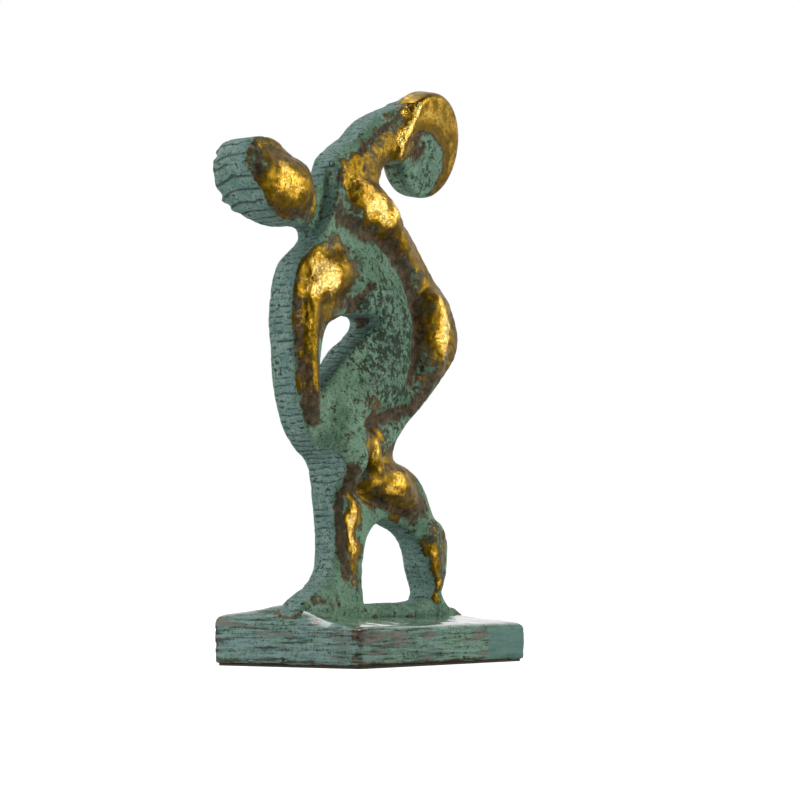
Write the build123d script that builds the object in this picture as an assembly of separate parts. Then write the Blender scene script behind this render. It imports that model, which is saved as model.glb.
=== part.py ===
"""Souvenir figurine: a small cast brass discus thrower screwed to a block plinth.

Frame: millimetres, +Z up, +X along the profile towards the trailing foot, the worked
side looks along -Y. The origin is the middle of the underside of the base pad.
"""
import os
from math import cos, radians, sin
from build123d import *

# ---- driving dimensions -------------------------------------------------------------
plinth_length = 34.0          # X
plinth_width = 21.2           # Y
plinth_height = 4.35          # block alone, up to its upper arrises
crown_height = 0.8            # the top of the block swells to a flat land in the middle
land_width = 7.0              # Y width of that land
land_margin = 1.3             # X distance from the end of the block to the land
plinth_corner_radius = 0.8

pad_thickness = 0.25
pad_inset = 0.3               # the pad stays inside the block's edge all round

figure_height = 64.6          # feet to the top of the raised arm and discus
drawn_height = 64.6           # height at which the outlines below are drawn
wall_half = 1.8               # half thickness of the flat walls of torso and arms
leg_half = 1.6                # half thickness of the standing leg
ground_half = 1.6             # half thickness of the strip between the feet

discus_diameter = 12.7
discus_thickness = 3.4
discus_rim_radius = 0.6
discus_pitch = 12.6           # degrees, the worked face looks a little down
discus_yaw = 2.8              # degrees

screw_diameter = 2.0          # M2 cheese head
screw_length = 5.0            # under the head
head_diameter = 3.8
head_height = 1.3
slot_width = 0.5
slot_depth = 0.6
washer_diameter = 5.0
washer_thickness = 0.3
counterbore_depth = 2.4
counterbore_clearance = 0.4   # on the washer's diameter
hole_clearance = 0.4          # on the screw's diameter, through the block
thread_clearance = 0.06       # on the screw's diameter, in the tapped foot
tap_spare = 0.4               # tapped depth beyond the screw's end
screw_stations = (-7.6, 10.7) # X, under the standing heel and the trailing foot, as drawn

# ---- worked out ---------------------------------------------------------------------
block_bottom = pad_thickness
block_rim = block_bottom + plinth_height
ground = block_rim + crown_height
k = figure_height / drawn_height
screw_x = [k * x for x in screw_stations]
seat_z = block_bottom + counterbore_depth
head_top = seat_z - washer_thickness
tap_top = head_top + screw_length + tap_spare


def at(x, z):
    """A drawn point, its height counted from the ground, at the figure's real size."""
    return (k * x, ground + k * z)


def slab(points, half, straight=False):
    """A flat casting wall: a closed outline in the profile plane, half each way in Y."""
    placed = [at(x, z) for x, z in points]
    edge = Polyline(*placed, close=True) if straight else Spline(*placed, periodic=True)
    return extrude(Plane.XZ * make_face(edge), amount=half, both=True)


def muscle(x, z, length, height, depth, tilt=0.0, y=0.0):
    """A rounded swelling: half length along the limb, half height across it, half depth in Y."""
    ball = scale(Sphere(1.0), by=(k * length, depth, k * height))
    px, pz = at(x, z)
    return Pos(px, y, pz) * Rot(0, -tilt, 0) * ball


# ---- figure: one brass casting, slab sided, with the ground strip that joins its feet ---
throwing_arm = slab(
    [(-11.6, 49.6), (-9.4, 52.8), (-8.6, 54.9), (-4.2, 57.6), (-1.0, 59.8), (3.0, 61.9),
     (6.2, 63.2), (7.8, 63.2), (8.2, 60.6), (5.4, 57.2), (2.0, 55.1), (0.2, 54.4),
     (-1.0, 52.0), (-0.6, 50.6), (-5.0, 47.4)], wall_half)
torso = slab(
    [(-12.4, 44.4), (-10.9, 48.0), (-6.0, 51.6), (-0.6, 50.8), (3.6, 47.6), (6.6, 44.5),
     (10.2, 40.8), (13.6, 37.7), (15.0, 34.4), (13.4, 31.2), (9.5, 27.6), (5.0, 24.2),
     (1.6, 20.8), (-1.0, 19.0), (-5.2, 19.4), (-10.6, 20.4), (-13.8, 24.4), (-8.4, 29.5),
     (-4.6, 32.6), (-2.3, 34.8), (-3.8, 36.0), (-8.5, 35.4), (-12.6, 38.6)], wall_half)
head = slab(
    [(-27.4, 49.6), (-26.4, 52.9), (-23.4, 54.4), (-19.8, 54.7), (-15.0, 53.7), (-10.6, 51.9),
     (-9.6, 49.4), (-12.6, 46.4), (-15.6, 45.2), (-19.8, 44.9), (-23.6, 45.7), (-26.6, 47.4)],
    wall_half)
hanging_arm = slab(
    [(-11.0, 45.0), (-13.6, 42.8), (-16.6, 40.3), (-17.4, 36.4), (-17.8, 32.4), (-17.1, 27.8),
     (-16.2, 23.6), (-14.0, 20.5), (-11.0, 18.6), (-9.6, 20.4), (-12.8, 24.4), (-13.0, 28.6),
     (-12.9, 31.8), (-11.4, 34.0), (-8.4, 35.4), (-7.0, 40.0)], wall_half)
standing_leg = slab(
    [(-11.6, 18.6), (-10.2, 14.6), (-9.6, 10.4), (-9.3, 6.6), (-10.2, 4.4), (-12.8, 2.8),
     (-15.4, 1.4), (-15.4, 0.0), (-4.4, 0.0), (-4.6, 2.6), (-5.0, 6.2), (-4.3, 9.6),
     (-3.4, 12.2), (-3.6, 17.6), (-6.0, 22.0)], leg_half)
trailing_leg = slab(
    [(-7.6, 16.4), (-4.6, 14.4), (0.0, 12.5), (4.6, 11.1), (7.6, 9.0), (8.6, 6.2),
     (8.4, 3.4), (8.2, 0.0), (15.2, 0.0), (13.8, 1.0), (11.6, 3.2), (12.6, 6.0),
     (12.9, 9.0), (10.8, 11.2), (8.6, 13.8), (6.4, 16.5), (2.6, 18.2), (1.0, 20.0),
     (-3.0, 21.6), (-7.0, 20.4)], leg_half)
ground_strip = slab([(-15.4, 0.0), (-15.4, 0.9), (-10.0, 1.7), (12.0, 1.7), (15.4, 0.8), (15.4, 0.0)],
                    ground_half, straight=True)

swellings = [
    muscle(-21.0, 49.8, 6.3, 4.7, 4.3),                  # head
    muscle(-12.4, 50.2, 3.2, 3.0, 2.7, 20),              # neck
    muscle(-2.4, 56.0, 9.6, 2.9, 2.8, 36),               # throwing arm
    muscle(4.4, 59.4, 4.4, 2.0, 3.6, 58),                # hand, closed over the edge of the discus
    muscle(-3.6, 49.4, 6.6, 4.2, 3.7, -35),              # shoulder blade
    muscle(-12.0, 40.0, 4.8, 4.2, 3.3, 30),              # near shoulder
    muscle(-15.2, 29.0, 8.4, 1.7, 2.6, 92),              # hanging forearm
    muscle(1.0, 41.0, 9.0, 4.6, 3.3, -48),               # flank
    muscle(9.4, 35.2, 6.2, 4.6, 3.9, -70),               # buttock
    muscle(-0.6, 27.6, 9.6, 5.4, 3.5, 32),               # thighs
    muscle(-6.8, 19.2, 3.8, 3.4, 3.8, y=-0.6),           # knees, side by side
    muscle(1.6, 16.0, 6.4, 3.3, 3.2, -16),               # trailing calf
    muscle(10.0, 7.4, 4.4, 2.0, 2.5, 96),                # trailing ankle and heel
    muscle(-6.8, 11.0, 7.4, 1.9, 2.4, 92),               # standing calf
]
feet = [
    muscle(-9.6, 0.2, 6.0, 2.8, 2.7),                    # standing foot
    muscle(11.4, 0.2, 3.4, 2.6, 2.5),                    # trailing toes
]
soil = Pos(0, 0, ground - 10) * Box(4 * plinth_length, 4 * plinth_width, 20)
figure = throwing_arm + torso + head + hanging_arm + standing_leg + trailing_leg + ground_strip
for swelling in swellings + feet:
    figure = figure + swelling
figure = figure - soil

# ---- discus: a turned disc with a rounded rim, let into the hand ----------------------
drawn_discus = (9.5, 58.1)
discus_x, discus_z = at(*drawn_discus)
blank = Cylinder(discus_diameter / 2, discus_thickness)
discus = fillet(blank.edges(), min(discus_rim_radius, 0.45 * discus_thickness))
discus = Pos(discus_x, 0, discus_z) * Rot(0, 0, discus_yaw) * Rot(90 + discus_pitch, 0, 0) * discus
figure = figure - discus

# ---- tapped holes under the feet -----------------------------------------------------
for x in screw_x:
    depth = tap_top - ground
    figure = figure - Pos(x, 0, ground + depth / 2) * Cylinder((screw_diameter + thread_clearance) / 2, depth)

# ---- plinth: a cast block whose top swells to a flat land under the feet ----------------
block = Pos(0, 0, block_bottom + plinth_height / 2) * Box(plinth_length, plinth_width, plinth_height)
block = fillet(block.edges().filter_by(Axis.Z), plinth_corner_radius)
rim = Plane.XY.offset(block_rim) * Rectangle(plinth_length - 0.2, plinth_width - 0.2)
land = Plane.XY.offset(ground) * Rectangle(plinth_length - 2 * land_margin, land_width)
plinth = block + loft([rim, land])
for x in screw_x:
    bore = (washer_diameter + counterbore_clearance) / 2
    plinth = plinth - Pos(x, 0, block_bottom + counterbore_depth / 2) * Cylinder(bore, counterbore_depth)
    through = (screw_diameter + hole_clearance) / 2
    plinth = plinth - Pos(x, 0, (seat_z + ground) / 2) * Cylinder(through, ground - seat_z)

# ---- two cheese-head screws with their washers, up through the block into the feet --------
screws = []
washers = []
for x in screw_x:
    shank = Pos(x, 0, head_top + screw_length / 2) * Cylinder(screw_diameter / 2, screw_length)
    head_solid = Pos(x, 0, head_top - head_height / 2) * Cylinder(head_diameter / 2, head_height)
    slot = Pos(x, 0, head_top - head_height + slot_depth / 2) * Box(2 * head_diameter, slot_width, slot_depth)
    screws.append(shank + head_solid - slot)
    ring = Cylinder(washer_diameter / 2, washer_thickness)
    ring = ring - Cylinder((screw_diameter + hole_clearance) / 2, washer_thickness)
    washers.append(Pos(x, 0, seat_z - washer_thickness / 2) * ring)

# ---- base pad: a thin sheet glued under the block, over the screw heads ------------------
pad = Pos(0, 0, pad_thickness / 2) * Box(plinth_length - 2 * pad_inset, plinth_width - 2 * pad_inset,
                                         pad_thickness)
pad = fillet(pad.edges().filter_by(Axis.Z), plinth_corner_radius)

# ---- write one file per piece --------------------------------------------------------
os.makedirs("parts", exist_ok=True)
nodes = {
    "figure": figure,
    "discus": discus,
    "plinth": plinth,
    "fixing_screws": Compound(children=screws),
    "washers": Compound(children=washers),
    "base_pad": pad,
}
for name, shape in nodes.items():
    export_step(shape, f"parts/{name}.step")
    box = shape.bounding_box()
    print(name, len(shape.solids()), "solids", round(shape.volume, 1), "mm3", box.min, box.max)
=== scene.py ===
import math

import bpy
import numpy as np
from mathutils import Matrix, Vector


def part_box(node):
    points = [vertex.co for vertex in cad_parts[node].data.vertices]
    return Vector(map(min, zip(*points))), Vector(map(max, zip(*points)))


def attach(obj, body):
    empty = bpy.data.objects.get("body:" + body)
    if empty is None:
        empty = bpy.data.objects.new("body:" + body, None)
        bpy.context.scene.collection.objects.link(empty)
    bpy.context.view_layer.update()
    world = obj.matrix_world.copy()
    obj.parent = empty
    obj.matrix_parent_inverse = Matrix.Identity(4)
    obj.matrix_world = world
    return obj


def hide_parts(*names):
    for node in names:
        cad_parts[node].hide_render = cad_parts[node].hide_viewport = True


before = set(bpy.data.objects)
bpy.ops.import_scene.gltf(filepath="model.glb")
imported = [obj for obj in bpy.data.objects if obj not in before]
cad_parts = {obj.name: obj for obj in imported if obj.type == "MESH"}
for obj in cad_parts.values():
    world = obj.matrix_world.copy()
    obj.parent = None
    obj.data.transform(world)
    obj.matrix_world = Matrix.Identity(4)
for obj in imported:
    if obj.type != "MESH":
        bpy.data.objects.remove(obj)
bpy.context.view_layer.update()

# ======================================================================================
# The figure: one brass casting from a two-part mould, so it is a slab with flat draughty
# walls all round and a swelling relief on each face. A low strip of ground joins its feet,
# and both feet are drilled from below for the fixing screws.
# ======================================================================================
mm = 0.001
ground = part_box("figure")[0][2] / mm           # height of the plinth's land, where the feet stand
screw_head_radius = 1.9
screw_low, screw_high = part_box("fixing_screws")
screw_x = (screw_low[0] / mm + screw_head_radius, screw_high[0] / mm - screw_head_radius)

# The outline runs clockwise from the crown of the head, in mm along X and up Z.
head_top = [(-26.8, 56.1), (-26.5, 57.4), (-25.4, 58.6), (-23.7, 59.15), (-21.6, 59.0),
            (-19.2, 57.85), (-16.8, 56.7), (-14.4, 55.7), (-12.6, 55.3), (-10.8, 56.1)]
raised_arm_top = [(-10.1, 57.6), (-9.4, 59.0), (-8.3, 60.0), (-6.2, 61.4), (-4.2, 62.8),
                  (-2.2, 64.4), (-0.2, 65.6), (1.8, 66.45), (3.8, 67.2), (6.0, 68.0), (8.0, 69.2)]
hand_end = [(8.9, 69.2), (8.2, 67.6), (7.0, 65.6), (6.0, 63.2), (5.0, 61.4), (3.6, 60.6)]
raised_arm_under = [(2.0, 60.4), (0.4, 59.9), (-0.7, 59.0), (-1.3, 57.9), (-1.3, 56.6), (-0.5, 55.0)]
back = [(1.0, 53.6), (2.7, 52.5), (4.5, 51.7), (6.0, 50.6), (8.3, 48.2), (10.4, 46.4), (12.5, 44.9)]
buttock = [(14.0, 43.2), (14.9, 41.2), (15.2, 39.6), (14.7, 37.7), (13.3, 36.0)]
thigh_under = [(11.5, 34.4), (9.6, 32.7), (7.3, 30.9), (5.3, 29.4), (3.6, 28.0), (2.3, 26.8),
               (1.6, 25.6)]
calf_top = [(1.5, 24.5), (2.2, 23.7), (3.8, 23.3), (5.4, 22.7), (7.0, 21.8), (8.4, 20.3),
            (9.4, 18.5)]
heel = [(10.4, 17.2), (11.8, 16.5), (12.8, 15.3), (13.2, 13.9), (13.1, 12.3), (12.9, 10.6),
        (12.3, 9.2)]
toes = [(11.8, 7.9), (12.4, 6.9), (13.9, 6.3), (15.3, 6.0), (15.3, 5.0)]
sole = [(0.0, 5.0), (-15.4, 5.0), (-15.5, 6.8)]
instep = [(-14.8, 7.4), (-12.9, 8.3), (-11.4, 9.1), (-10.2, 10.2), (-9.5, 11.5), (-9.3, 13.5)]
shin = [(-9.4, 16.0), (-9.8, 19.0), (-10.1, 21.2), (-10.6, 22.9), (-11.6, 24.1)]
hanging_arm = [(-12.9, 24.9), (-14.3, 26.1), (-15.5, 27.8), (-16.3, 29.6), (-16.9, 31.4),
               (-17.3, 33.6), (-17.6, 36.4), (-17.85, 39.2), (-17.65, 42.0), (-17.2, 44.3),
               (-16.2, 46.1)]
chest = [(-14.6, 47.5), (-13.4, 48.4), (-12.6, 49.5)]
head_under = [(-13.2, 50.6), (-15.2, 50.8), (-17.4, 50.5), (-19.8, 50.6), (-21.8, 51.0), (-23.6, 51.8),
              (-25.0, 53.0), (-26.0, 54.1), (-26.6, 55.1)]
outer = (head_top + raised_arm_top + hand_end + raised_arm_under + back + buttock + thigh_under
         + calf_top + heel + toes + sole + instep + shin + hanging_arm + chest + head_under)
leg_gap = [(-4.2, 7.0), (-4.5, 8.6), (-4.6, 11.0), (-4.2, 13.0), (-3.7, 14.6), (-2.9, 15.7),
           (-1.8, 16.6), (-0.4, 17.3), (1.2, 17.1), (3.2, 16.6), (5.2, 15.9), (7.0, 14.7),
           (8.2, 13.0), (8.9, 11.2), (9.9, 9.8), (10.2, 8.6), (9.5, 7.4), (7.0, 6.9), (2.0, 6.75),
           (-2.5, 6.75)]
arm_gap = [(-13.0, 31.4), (-12.95, 34.0), (-12.7, 36.4), (-12.2, 38.2), (-11.2, 39.5),
           (-9.6, 40.4), (-7.5, 41.1), (-4.5, 41.4), (-2.6, 41.0), (-2.5, 39.6), (-4.2, 38.2),
           (-6.4, 36.8), (-8.3, 35.0), (-10.5, 33.0), (-12.3, 31.2)]


def closed_curve(points, steps=6):
    """A smooth closed line through the points, as short straight runs."""
    p = np.array(points)
    before, after, last = np.roll(p, 1, 0), np.roll(p, -1, 0), np.roll(p, -2, 0)
    t = (np.arange(steps) / steps)[None, :, None]
    a, b, c, d = (q[:, None, :] for q in (before, p, after, last))
    line = 0.5 * (2 * b + (c - a) * t + (2 * a - 5 * b + 4 * c - d) * t ** 2
                  + (3 * b - a - 3 * c + d) * t ** 3)
    return line.reshape(-1, 2)


def distance_to_line(line, x, z):
    """Signed distance to a closed line, negative inside it, and the way round it in mm."""
    best = np.full(x.shape, 1e9)
    along = np.zeros(x.shape)
    inside = np.zeros(x.shape, bool)
    travelled = 0.0
    for (x0, z0), (x1, z1) in zip(line, np.roll(line, -1, 0)):
        ex, ez = x1 - x0, z1 - z0
        length = math.hypot(ex, ez) + 1e-9
        t = np.clip(((x - x0) * ex + (z - z0) * ez) / length ** 2, 0, 1)
        d = (x - x0 - t * ex) ** 2 + (z - z0 - t * ez) ** 2
        along = np.where(d < best, travelled + t * length, along)
        best = np.minimum(best, d)
        travelled += length
        if z0 != z1:
            inside ^= ((z0 > z) != (z1 > z)) & (x < x0 + (z - z0) * ex / (z1 - z0))
    return np.where(inside, -1.0, 1.0) * np.sqrt(best), along


def blend_max(a, b, soft):
    """The greater of two fields, with the crease between them filled as a casting's is."""
    h = np.clip(soft - np.abs(a - b), 0, None) / soft
    return np.maximum(a, b) + h * h * soft * 0.25


def muscle(x, z, start, end, power=0.6):
    """The height of a swelling along a limb. Each end is x, z, half width and height."""
    (x0, z0, r0, h0), (x1, z1, r1, h1) = start, end
    ex, ez = x1 - x0, z1 - z0
    t = np.clip(((x - x0) * ex + (z - z0) * ez) / (ex * ex + ez * ez + 1e-9), 0, 1)
    across = np.hypot(x - x0 - t * ex, z - z0 - t * ez) / (r0 + t * (r1 - r0))
    height = h0 + t * (h1 - h0)
    return np.where(across < 1, height * np.clip(1 - across ** 2, 0, 1) ** power, -2.0 * (across - 1))


def bump(x, z, cx, cz, rx, rz, turn=0.0):
    """One smooth round spot that is 1 in its middle and fades to 0 at its edge."""
    c, s = math.cos(math.radians(turn)), math.sin(math.radians(turn))
    u, v = ((x - cx) * c + (z - cz) * s) / rx, ((z - cz) * c - (x - cx) * s) / rz
    return np.clip(1 - u * u - v * v, 0, 1) ** 2


def near_path(path, x, z):
    """Distance to an open line of points."""
    best = np.full(x.shape, 1e9)
    for (x0, z0), (x1, z1) in zip(path[:-1], path[1:]):
        ex, ez = x1 - x0, z1 - z0
        t = np.clip(((x - x0) * ex + (z - z0) * ez) / (ex * ex + ez * ez), 0, 1)
        best = np.minimum(best, np.hypot(x - x0 - t * ex, z - z0 - t * ez))
    return best


# The muscles, each with its two ends. The worked side is the one that shows, and the head
# is turned away from it, so the face belongs to the far side.
worked_side = {
    "head": ((-23.3, 54.7, 4.6, 4.0), (-18.6, 54.3, 4.3, 4.3)),
    "raised arm": ((-5.4, 58.8, 3.3, 2.7), (3.0, 63.9, 2.9, 2.5)),
    "hand": ((1.7, 61.2, 1.5, 3.0), (5.9, 68.0, 1.3, 3.1)),
    "shoulder blade": ((-5.6, 54.6, 4.0, 3.5), (-0.6, 52.9, 4.2, 3.7)),
    "side of the back": ((0.6, 52.0, 3.6, 3.3), (5.0, 47.0, 3.4, 2.9)),
    "shoulder": ((-13.4, 43.9, 3.5, 3.4), (-9.6, 45.6, 3.7, 3.5)),
    "upper arm": ((-14.6, 42.4, 2.6, 3.0), (-15.3, 36.4, 2.3, 2.8)),
    "forearm": ((-15.3, 37.5, 2.1, 2.9), (-14.4, 29.6, 2.0, 2.6)),
    "flank": ((-5.5, 45.6, 4.8, 3.0), (1.6, 40.4, 5.4, 3.2)),
    "thigh": ((1.5, 36.0, 5.6, 3.2), (-8.0, 28.4, 4.8, 3.6)),
    "buttock": ((9.3, 42.4, 4.2, 3.9), (8.9, 37.4, 4.4, 3.7)),
    "knee": ((-7.8, 24.4, 3.6, 4.2), (-6.6, 26.0, 3.6, 4.1)),
    "hamstring": ((-4.2, 26.6, 1.8, 3.6), (-3.4, 23.0, 2.0, 3.8)),
    "calf": ((-3.6, 21.6, 2.9, 3.4), (1.6, 21.1, 3.2, 3.8)),
    "lower calf": ((1.6, 21.1, 3.2, 3.6), (7.8, 17.2, 2.6, 2.4)),
    "ankle": ((9.4, 15.2, 2.8, 2.7), (10.4, 9.5, 2.2, 2.5)),
    "standing calf": ((-7.4, 18.6, 2.0, 2.6), (-7.6, 12.6, 1.7, 2.3)),
    "standing foot": ((-7.0, 7.6, 3.0, 2.5), (-12.6, 6.2, 2.2, 2.2)),
    "trailing foot": ((10.8, 7.4, 2.0, 2.3), (12.6, 6.2, 1.8, 2.1)),
}
far_side = {
    "skull": ((-22.8, 54.9, 4.6, 3.9), (-20.2, 54.6, 4.4, 3.9)),
    "jaw": ((-19.4, 54.4, 3.9, 3.8), (-16.6, 54.0, 3.0, 3.6)),
    "neck": ((-14.6, 53.6, 3.0, 2.4), (-9.6, 53.6, 3.2, 2.9)),
    "raised arm": ((-5.4, 58.8, 3.3, 2.7), (3.4, 64.0, 2.8, 2.6)),
    "hand": ((2.2, 61.4, 1.6, 2.9), (6.4, 68.0, 1.4, 2.9)),
    "chest": ((-7.0, 52.0, 4.2, 3.6), (-2.4, 50.4, 4.3, 3.7)),
    "belly": ((-4.0, 47.0, 4.8, 3.2), (2.4, 41.8, 4.8, 3.2)),
    "side": ((1.6, 51.0, 3.4, 3.0), (6.0, 46.0, 3.6, 2.9)),
    "shoulder": ((-13.2, 44.4, 3.3, 3.2), (-10.0, 46.0, 3.4, 3.2)),
    "upper arm": ((-14.6, 42.4, 2.6, 2.9), (-15.2, 36.4, 2.3, 2.7)),
    "forearm": ((-15.3, 37.5, 2.1, 2.8), (-14.2, 29.0, 2.0, 2.6)),
    "hip": ((8.2, 42.2, 4.4, 3.5), (8.4, 37.8, 4.4, 3.5)),
    "thigh": ((5.0, 37.2, 5.4, 3.7), (-7.6, 28.2, 4.6, 3.3)),
    "knee": ((-8.2, 25.4, 3.0, 3.1), (-7.6, 23.6, 2.8, 2.9)),
    "shin": ((-7.2, 21.6, 2.7, 2.7), (-7.4, 12.4, 2.0, 2.2)),
    "trailing calf": ((-3.0, 20.6, 2.9, 2.5), (6.6, 17.8, 2.8, 2.4)),
    "ankle": ((9.6, 15.0, 2.6, 2.4), (10.5, 9.5, 2.1, 2.3)),
    "standing foot": ((-7.0, 7.6, 3.0, 2.4), (-12.6, 6.2, 2.2, 2.1)),
    "trailing foot": ((10.8, 7.4, 2.0, 2.2), (12.6, 6.2, 1.8, 2.0)),
}
cell = 0.2315                                  # the pitch of the grid that the casting is cut on
gx = np.arange(-28.2, 17.6, cell)
gy = np.arange(-5.4, 6.4, cell)
gz = np.arange(4.6, 70.6, cell)
X2, Z2 = np.meshgrid(gx, gz, indexing="ij")
edge, along = distance_to_line(closed_curve(outer), X2, Z2)
for gap in (leg_gap, arm_gap):
    from_gap, round_gap = distance_to_line(closed_curve(gap), X2, Z2)
    along = np.where(-from_gap > edge, round_gap, along)
    edge = np.maximum(edge, -from_gap)
edge_allowance = 0.3                           # rounding the arrises takes this much off the outline
edge = edge - edge_allowance
inward = np.clip(-edge, 0, None)

# the flat walls: thinner at the legs, thicker at the head, full at the two knees side by side
wall_half, leg_thinner, head_thicker, knee_fuller = 1.75, 0.15, 0.4, 2.4
knee_level, head_level = 24, 49
plump_width, plump_height = 2.4, 0.55
wall = (wall_half - leg_thinner * np.clip((knee_level - Z2) / 8, 0, 1)
        + head_thicker * np.clip((-15.5 - X2) / 3, 0, 1) * (Z2 > head_level))
plump = 1 - np.clip(1 - inward / plump_width, 0, 1) ** 2
near_wall = wall + knee_fuller * np.clip(1.5 * bump(X2, Z2, -9.6, 24.2, 4.6, 5.0, 30), 0, 1)
neck = [(-14.4, 50.8), (-13.9, 53.0), (-14.2, 55.4), (-14.9, 58.2), (-10.4, 58.0), (-10.2, 56.0),
        (-10.9, 53.6), (-12.3, 50.6), (-13.4, 49.6)]
from_neck = distance_to_line(closed_curve(neck), X2, Z2)[0]


def relief(muscles, base):
    """One face of the casting: its flat wall height, plumped up inside, under the muscles."""
    height = base + plump_height * plump
    for start, end in muscles.values():
        height = blend_max(height, muscle(X2, Z2, start, end), 0.5)
    return height


near = relief(worked_side, near_wall)
neck_depth = 0.7                               # of the neck's hollow, from the mould's parting
near = np.minimum(near, neck_depth + 5.0 * np.clip(from_neck, 0, None))
far = relief(far_side, wall)

# the grooves between the worked side's muscles: a path, a width and a depth
grooves = [
    ([(-0.5, 50.2), (3.0, 47.2), (5.2, 44.2), (6.2, 41.0), (6.0, 37.6), (4.8, 34.0)], 1.5, 0.7),
    ([(-8.6, 42.4), (-6.4, 42.8), (-4.6, 44.2)], 0.9, 0.5),
    ([(-4.8, 28.2), (-1.5, 29.0), (3.4, 30.4)], 1.2, 0.7),
    ([(-9.5, 51.6), (-5.0, 50.8), (0.5, 50.0)], 1.0, 0.45),
    ([(-8.0, 21.0), (-5.4, 19.8), (-2.0, 18.9)], 0.9, 0.6),
]
for path, width, depth in grooves:
    near = near - depth * np.exp(-(near_path(path, X2, Z2) / width) ** 2)

# the face: up it runs from the chin at 0 to the crown at 1, across it in mm from the middle
chin, crown = np.array([-15.0, 53.8]), np.array([-27.4, 55.3])
head_length = np.linalg.norm(crown - chin)
up_x, up_z = (crown - chin) / head_length
up = ((X2 - chin[0]) * up_x + (Z2 - chin[1]) * up_z) / head_length
off = np.abs((Z2 - chin[1]) * up_x - (X2 - chin[0]) * up_z)


def feature(height, at_up, high, at_off, wide):
    """One soft swelling of the face, or its mirrored pair where it is off the middle."""
    return height * np.exp(-((up - at_up) / high) ** 2 - ((off - at_off) / wide) ** 2)


nose_rise = np.clip((0.6 - up) / 0.25, 0, 1) * np.clip((up - 0.315) / 0.04, 0, 1)
face = (feature(0.5, 0.605, 0.045, 1.6, 1.5) + feature(0.3, 0.70, 0.08, 0.0, 2.6)
        + feature(-1.15, 0.505, 0.062, 1.75, 1.0) + feature(0.95, 0.50, 0.036, 1.75, 0.75)
        + feature(0.35, 0.35, 0.10, 2.3, 1.0) + feature(0.45, 0.35, 0.035, 0.75, 0.4)
        + (0.5 + 1.35 * nose_rise) * nose_rise ** 0.5 * np.exp(-(off / (0.45 + 0.3 * nose_rise)) ** 2)
        + feature(0.6, 0.26, 0.026, 0.0, 1.2) + feature(-0.75, 0.222, 0.018, 0.0, 1.35)
        + feature(0.65, 0.185, 0.028, 0.0, 1.0) + feature(-0.35, 0.135, 0.025, 0.0, 1.0)
        + feature(0.7, 0.06, 0.06, 0.0, 1.3))
hair = np.clip((up - 0.78 + 0.02 * off ** 2) / 0.06, 0, 1)
locks = np.sin(13 * np.arctan2(off + 0.3, up * head_length - 6.0) + 2.2 * np.sin(2.1 * off + 9 * up))
on_head = (up > -0.05) & (up < 1.05) & (off < 4.6)
far = far + np.where(on_head, face * (1 - hair) + hair * (0.35 + 0.28 * locks), 0)


def smoothed(field, reach):
    """The field averaged over a square window."""
    n = int(round(reach / cell))
    for axis in (0, 1):
        field = sum(np.roll(field, i, axis) for i in range(-n, n + 1)) / (2 * n + 1)
    return field


far_crest = far - smoothed(far, 1.6)

Y3 = gy[None, :, None]
solid = np.where(Y3 < 0, -Y3 - near[:, None, :], Y3 - far[:, None, :])
arris_round = 0.55
solid = blend_max(solid, edge[:, None, :] + 0 * Y3, arris_round)
X3, Z3 = X2[:, None, :], Z2[:, None, :]
sunk_sole = 0.3                               # the soles bed this far into the plinth's top
solid = np.maximum(solid, ground - sunk_sole - Z3)


def surface_of(field, xs, ys, zs):
    """Meshes the zero surface of a field with one corner in each cell that it crosses."""
    inside = field < 0
    shape = np.array(field.shape) - 1
    total = np.zeros(tuple(shape) + (3,))
    count = np.zeros(tuple(shape))
    base = np.stack(np.meshgrid(*[np.arange(n) for n in shape], indexing="ij"), -1).astype(float)
    for axis in range(3):
        others = [a for a in range(3) if a != axis]
        for u in (0, 1):
            for v in (0, 1):
                lo = [slice(0, n) for n in shape]
                lo[others[0]] = slice(u, u + shape[others[0]])
                lo[others[1]] = slice(v, v + shape[others[1]])
                hi = list(lo)
                hi[axis] = slice(1, 1 + shape[axis])
                a, b = field[tuple(lo)], field[tuple(hi)]
                cut = (a < 0) != (b < 0)
                t = np.where(cut, a / np.where(cut, a - b, 1), 0)
                point = base.copy()
                point[..., axis] += t
                point[..., others[0]] += u
                point[..., others[1]] += v
                total += point * cut[..., None]
                count += cut
    used = count > 0
    index = np.full(tuple(shape), -1)
    index[used] = np.arange(used.sum())
    step = np.array([xs[1] - xs[0], ys[1] - ys[0], zs[1] - zs[0]])
    points = np.array([xs[0], ys[0], zs[0]]) + total[used] / count[used][:, None] * step
    faces = []
    for axis in range(3):
        o1, o2 = [(1, 2), (2, 0), (0, 1)][axis]
        lo = [slice(1, n) for n in shape]
        lo[axis] = slice(0, shape[axis])
        hi = list(lo)
        hi[axis] = slice(1, 1 + shape[axis])
        a, b = inside[tuple(lo)], inside[tuple(hi)]
        for sign, hit in ((1, a & ~b), (-1, ~a & b)):
            at = np.argwhere(hit)
            at[:, [o1, o2]] += 1
            ring = []
            for du, dv in ((1, 1), (0, 1), (0, 0), (1, 0)):
                q = at.copy()
                q[:, o1] -= du
                q[:, o2] -= dv
                ring.append(index[tuple(q.T)])
            faces.append(np.stack(ring if sign > 0 else ring[::-1], 1))
    return points, np.concatenate(faces)


# the discus sits in the hand, so its shape is needed for the seat: a disc that leans a
# little, with its middle, the way that it faces, its radius and its thickness
discus_middle = np.array([9.75, -0.1, 63.63])
discus_facing = np.array([0.048, -0.975, -0.218])
discus_radius = 6.55
discus_thick = 3.5


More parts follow.
